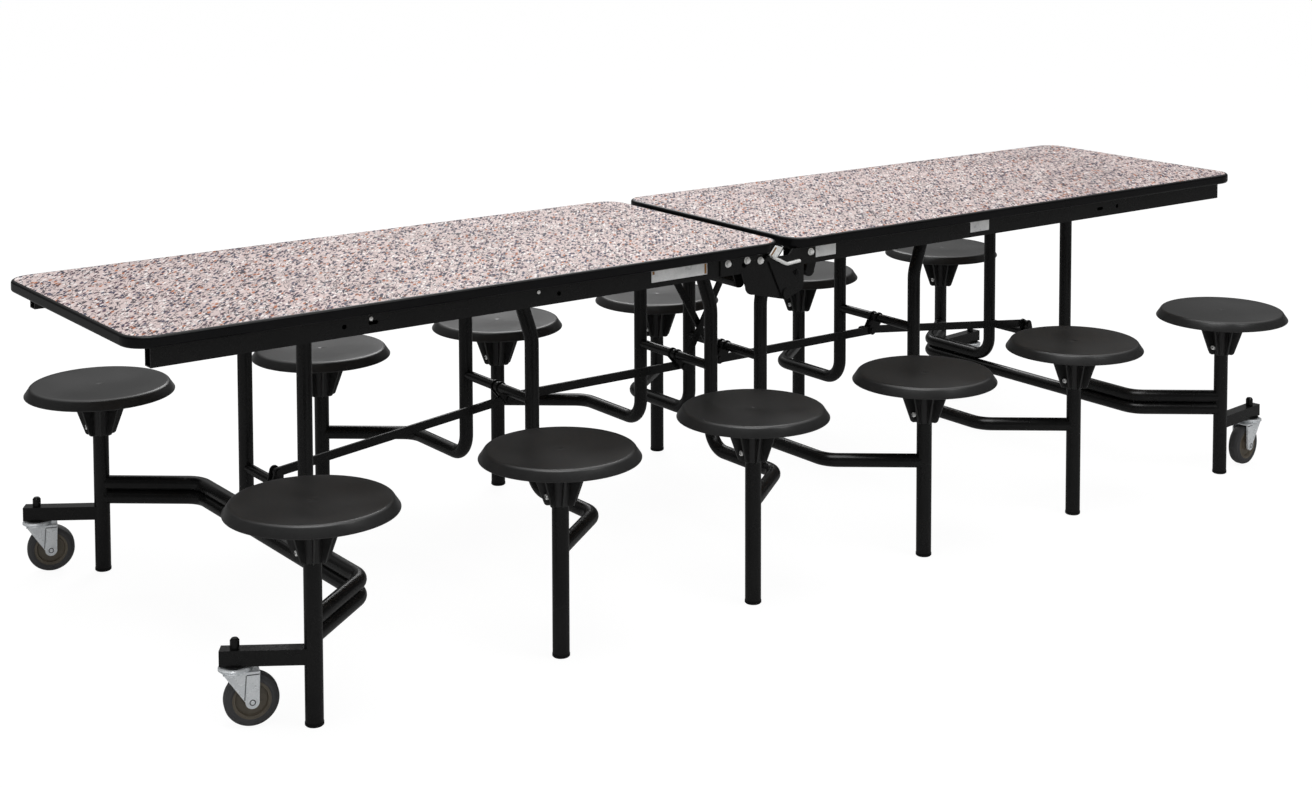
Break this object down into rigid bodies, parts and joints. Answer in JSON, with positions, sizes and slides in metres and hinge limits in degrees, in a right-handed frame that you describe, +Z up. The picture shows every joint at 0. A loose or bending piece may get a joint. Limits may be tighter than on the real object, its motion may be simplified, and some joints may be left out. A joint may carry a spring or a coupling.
{
  "type": "folding table with attached swivel stools",
  "caption": "Folding cafeteria table in two hinged halves on tube frames, with round swivel stools on the frames and casters at both ends.",
  "frame": {"origin": "on the floor under the centre hinge, midway between the two rows of stools", "axes": "X along the table, Y across it towards row b, Z up"},
  "size_m": [3.166, 1.372, 0.737],
  "materials": {
    "laminate_top": "speckled decorative laminate",
    "edge_band": "moulded black vinyl",
    "black_steel": "black powder coat",
    "seat_plastic": "charcoal moulded plastic",
    "zinc_caster": "bright zinc plate",
    "tyre_rubber": "grey brown rubber",
    "plated_latch": "bright plate"
  },
  "bodies": {
    "left_end_frame": {"left_end_frame_legs": "black_steel", "left_end_frame_crossbar": "black_steel", "left_end_frame_lower_tube": "black_steel", "left_end_frame_posts": "black_steel", "left_caster_arms": "black_steel"},
    "left_top": {"left_top_board": "laminate_top", "left_edge_band": "edge_band", "left_top_rails": "black_steel", "left_pivot_rods": "black_steel", "left_hinge_plates": "black_steel"},
    "right_top": {"right_top_board": "laminate_top", "right_edge_band": "edge_band", "right_top_rails": "black_steel", "right_pivot_rods": "black_steel", "right_hinge_plates": "black_steel"},
    "left_middle_frame": {"left_middle_frame_legs": "black_steel", "left_middle_frame_crossbar": "black_steel", "left_middle_frame_posts": "black_steel"},
    "left_inner_frame": {"left_inner_frame_legs": "black_steel", "left_inner_frame_crossbar": "black_steel", "left_inner_frame_posts": "black_steel"},
    "right_middle_frame": {"right_middle_frame_legs": "black_steel", "right_middle_frame_crossbar": "black_steel", "right_middle_frame_posts": "black_steel"},
    "right_inner_frame": {"right_inner_frame_legs": "black_steel", "right_inner_frame_crossbar": "black_steel", "right_inner_frame_posts": "black_steel"},
    "right_end_frame": {"right_end_frame_legs": "black_steel", "right_end_frame_crossbar": "black_steel", "right_end_frame_lower_tube": "black_steel", "right_end_frame_posts": "black_steel", "right_caster_arms": "black_steel"},
    "left_inner_link": {"left_inner_link": "black_steel"},
    "left_outer_link": {"left_outer_link": "black_steel"},
    "left_strut": {"left_strut": "black_steel"},
    "right_inner_link": {"right_inner_link": "black_steel"},
    "right_outer_link": {"right_outer_link": "black_steel"},
    "right_strut": {"right_strut": "black_steel"},
    "latch": {"latch_handle": "plated_latch"},
    "seat_a1": {"seat_a1": "seat_plastic"},
    "seat_a2": {"seat_a2": "seat_plastic"},
    "seat_a3": {"seat_a3": "seat_plastic"},
    "seat_a4": {"seat_a4": "seat_plastic"},
    "seat_a5": {"seat_a5": "seat_plastic"},
    "seat_a6": {"seat_a6": "seat_plastic"},
    "seat_b1": {"seat_b1": "seat_plastic"},
    "seat_b2": {"seat_b2": "seat_plastic"},
    "seat_b3": {"seat_b3": "seat_plastic"},
    "seat_b4": {"seat_b4": "seat_plastic"},
    "seat_b5": {"seat_b5": "seat_plastic"},
    "seat_b6": {"seat_b6": "seat_plastic"},
    "caster_fork_left_a": {"caster_fork_left_a": "zinc_caster"},
    "caster_wheel_left_a": {"caster_wheel_left_a": "tyre_rubber"},
    "caster_fork_left_b": {"caster_fork_left_b": "zinc_caster"},
    "caster_wheel_left_b": {"caster_wheel_left_b": "tyre_rubber"},
    "caster_fork_right_a": {"caster_fork_right_a": "zinc_caster"},
    "caster_wheel_right_a": {"caster_wheel_right_a": "tyre_rubber"},
    "caster_fork_right_b": {"caster_fork_right_b": "zinc_caster"},
    "caster_wheel_right_b": {"caster_wheel_right_b": "tyre_rubber"}
  },
  "joints": [
    {"name": "fold", "type": "hinge", "parent": "left_end_frame", "child": "left_top", "pos_m": [-1.13, 0, 0.692], "axis": [0, -1, 0], "range_deg": [0, 90]},
    {"name": "left_middle_frame_pivot", "type": "hinge", "parent": "left_top", "child": "left_middle_frame", "pos_m": [-0.62, 0, 0.692], "axis": [0, -1, 0], "range_deg": [-90, 0]},
    {"name": "left_inner_frame_pivot", "type": "hinge", "parent": "left_top", "child": "left_inner_frame", "pos_m": [-0.12, 0, 0.692], "axis": [0, -1, 0], "range_deg": [-90, 0]},
    {"name": "centre_hinge", "type": "hinge", "parent": "left_top", "child": "right_top", "pos_m": [0, 0, 0.612], "axis": [0, -1, 0], "range_deg": [-180, 0]},
    {"name": "right_inner_frame_pivot", "type": "hinge", "parent": "right_top", "child": "right_inner_frame", "pos_m": [0.12, 0, 0.692], "axis": [0, -1, 0], "range_deg": [0, 90]},
    {"name": "right_middle_frame_pivot", "type": "hinge", "parent": "right_top", "child": "right_middle_frame", "pos_m": [0.62, 0, 0.692], "axis": [0, -1, 0], "range_deg": [0, 90]},
    {"name": "right_end_frame_pivot", "type": "hinge", "parent": "right_top", "child": "right_end_frame", "pos_m": [1.13, 0, 0.692], "axis": [0, -1, 0], "range_deg": [0, 90]},
    {"name": "left_inner_link_pivot", "type": "hinge", "parent": "left_middle_frame", "child": "left_inner_link", "pos_m": [-0.553, 0, 0.386], "axis": [0, -1, 0], "range_deg": [0, 90]},
    {"name": "left_outer_link_pivot", "type": "hinge", "parent": "left_end_frame", "child": "left_outer_link", "pos_m": [-1.127, 0, 0.322], "axis": [0, -1, 0], "range_deg": [0, 77.3]},
    {"name": "left_strut_pivot", "type": "hinge", "parent": "left_inner_frame", "child": "left_strut", "pos_m": [-0.053, 0, 0.386], "axis": [0, -1, 0], "range_deg": [0, 18.64]},
    {"name": "right_inner_link_pivot", "type": "hinge", "parent": "right_middle_frame", "child": "right_inner_link", "pos_m": [0.553, 0, 0.386], "axis": [0, 1, 0], "range_deg": [0, 90]},
    {"name": "right_outer_link_pivot", "type": "hinge", "parent": "right_end_frame", "child": "right_outer_link", "pos_m": [1.127, 0, 0.322], "axis": [0, 1, 0], "range_deg": [0, 77.3]},
    {"name": "right_strut_pivot", "type": "hinge", "parent": "right_inner_frame", "child": "right_strut", "pos_m": [0.053, 0, 0.386], "axis": [0, 1, 0], "range_deg": [0, 18.64]},
    {"name": "seat_a1_swivel", "type": "hinge", "parent": "left_end_frame", "child": "seat_a1", "pos_m": [-1.308, -0.52, 0.421], "axis": [0, 0, 1], "continuous": true},
    {"name": "seat_a2_swivel", "type": "hinge", "parent": "left_middle_frame", "child": "seat_a2", "pos_m": [-0.753, -0.52, 0.421], "axis": [0, 0, 1], "continuous": true},
    {"name": "seat_a3_swivel", "type": "hinge", "parent": "left_inner_frame", "child": "seat_a3", "pos_m": [-0.253, -0.52, 0.421], "axis": [0, 0, 1], "continuous": true},
    {"name": "seat_a4_swivel", "type": "hinge", "parent": "right_inner_frame", "child": "seat_a4", "pos_m": [0.253, -0.52, 0.421], "axis": [0, 0, 1], "continuous": true},
    {"name": "seat_a5_swivel", "type": "hinge", "parent": "right_middle_frame", "child": "seat_a5", "pos_m": [0.753, -0.52, 0.421], "axis": [0, 0, 1], "continuous": true},
    {"name": "seat_a6_swivel", "type": "hinge", "parent": "right_end_frame", "child": "seat_a6", "pos_m": [1.308, -0.52, 0.421], "axis": [0, 0, 1], "continuous": true},
    {"name": "seat_b1_swivel", "type": "hinge", "parent": "left_end_frame", "child": "seat_b1", "pos_m": [-1.308, 0.52, 0.421], "axis": [0, 0, 1], "continuous": true},
    {"name": "seat_b2_swivel", "type": "hinge", "parent": "left_middle_frame", "child": "seat_b2", "pos_m": [-0.753, 0.52, 0.421], "axis": [0, 0, 1], "continuous": true},
    {"name": "seat_b3_swivel", "type": "hinge", "parent": "left_inner_frame", "child": "seat_b3", "pos_m": [-0.253, 0.52, 0.421], "axis": [0, 0, 1], "continuous": true},
    {"name": "seat_b4_swivel", "type": "hinge", "parent": "right_inner_frame", "child": "seat_b4", "pos_m": [0.253, 0.52, 0.421], "axis": [0, 0, 1], "continuous": true},
    {"name": "seat_b5_swivel", "type": "hinge", "parent": "right_middle_frame", "child": "seat_b5", "pos_m": [0.753, 0.52, 0.421], "axis": [0, 0, 1], "continuous": true},
    {"name": "seat_b6_swivel", "type": "hinge", "parent": "right_end_frame", "child": "seat_b6", "pos_m": [1.308, 0.52, 0.421], "axis": [0, 0, 1], "continuous": true},
    {"name": "caster_left_a_swivel", "type": "hinge", "parent": "left_end_frame", "child": "caster_fork_left_a", "pos_m": [-1.43045, -0.44048, 0.105], "axis": [0, 0, 1], "continuous": true},
    {"name": "caster_left_a_spin", "type": "hinge", "parent": "caster_fork_left_a", "child": "caster_wheel_left_a", "pos_m": [-1.40303, -0.44992, 0.0525], "axis": [0.3256, 0.9455, 0], "continuous": true},
    {"name": "caster_left_b_swivel", "type": "hinge", "parent": "left_end_frame", "child": "caster_fork_left_b", "pos_m": [-1.43045, 0.59952, 0.105], "axis": [0, 0, 1], "continuous": true},
    {"name": "caster_left_b_spin", "type": "hinge", "parent": "caster_fork_left_b", "child": "caster_wheel_left_b", "pos_m": [-1.40303, 0.59008, 0.0525], "axis": [0.3256, 0.9455, 0], "continuous": true},
    {"name": "caster_right_a_swivel", "type": "hinge", "parent": "right_end_frame", "child": "caster_fork_right_a", "pos_m": [1.45258, -0.49968, 0.105], "axis": [0, 0, 1], "continuous": true},
    {"name": "caster_right_a_spin", "type": "hinge", "parent": "caster_fork_right_a", "child": "caster_wheel_right_a", "pos_m": [1.42379, -0.50321, 0.0525], "axis": [0.1219, -0.9925, 0], "continuous": true},
    {"name": "caster_right_b_swivel", "type": "hinge", "parent": "right_end_frame", "child": "caster_fork_right_b", "pos_m": [1.45258, 0.54032, 0.105], "axis": [0, 0, 1], "continuous": true},
    {"name": "caster_right_b_spin", "type": "hinge", "parent": "caster_fork_right_b", "child": "caster_wheel_right_b", "pos_m": [1.42379, 0.53678, 0.0525], "axis": [0.1219, -0.9925, 0], "continuous": true},
    {"name": "latch_turn", "type": "hinge", "parent": "left_top", "child": "latch", "pos_m": [-0.058, -0.3299, 0.7], "axis": [0, 1, 0], "range_deg": [0, 25]}
  ],
  "couplings": [
    {"joint": "left_middle_frame_pivot", "follows": "fold", "ratio": -1},
    {"joint": "left_inner_frame_pivot", "follows": "fold", "ratio": -1},
    {"joint": "centre_hinge", "follows": "fold", "ratio": -2},
    {"joint": "right_inner_frame_pivot", "follows": "fold", "ratio": 1},
    {"joint": "right_middle_frame_pivot", "follows": "fold", "ratio": 1},
    {"joint": "right_end_frame_pivot", "follows": "fold", "ratio": 1},
    {"joint": "left_inner_link_pivot", "follows": "fold", "ratio": 1},
    {"joint": "left_outer_link_pivot", "follows": "fold", "ratio": 0.85862},
    {"joint": "left_strut_pivot", "follows": "fold", "ratio": 0.20689},
    {"joint": "right_inner_link_pivot", "follows": "fold", "ratio": 1},
    {"joint": "right_outer_link_pivot", "follows": "fold", "ratio": 0.85862},
    {"joint": "right_strut_pivot", "follows": "fold", "ratio": 0.20689}
  ]
}
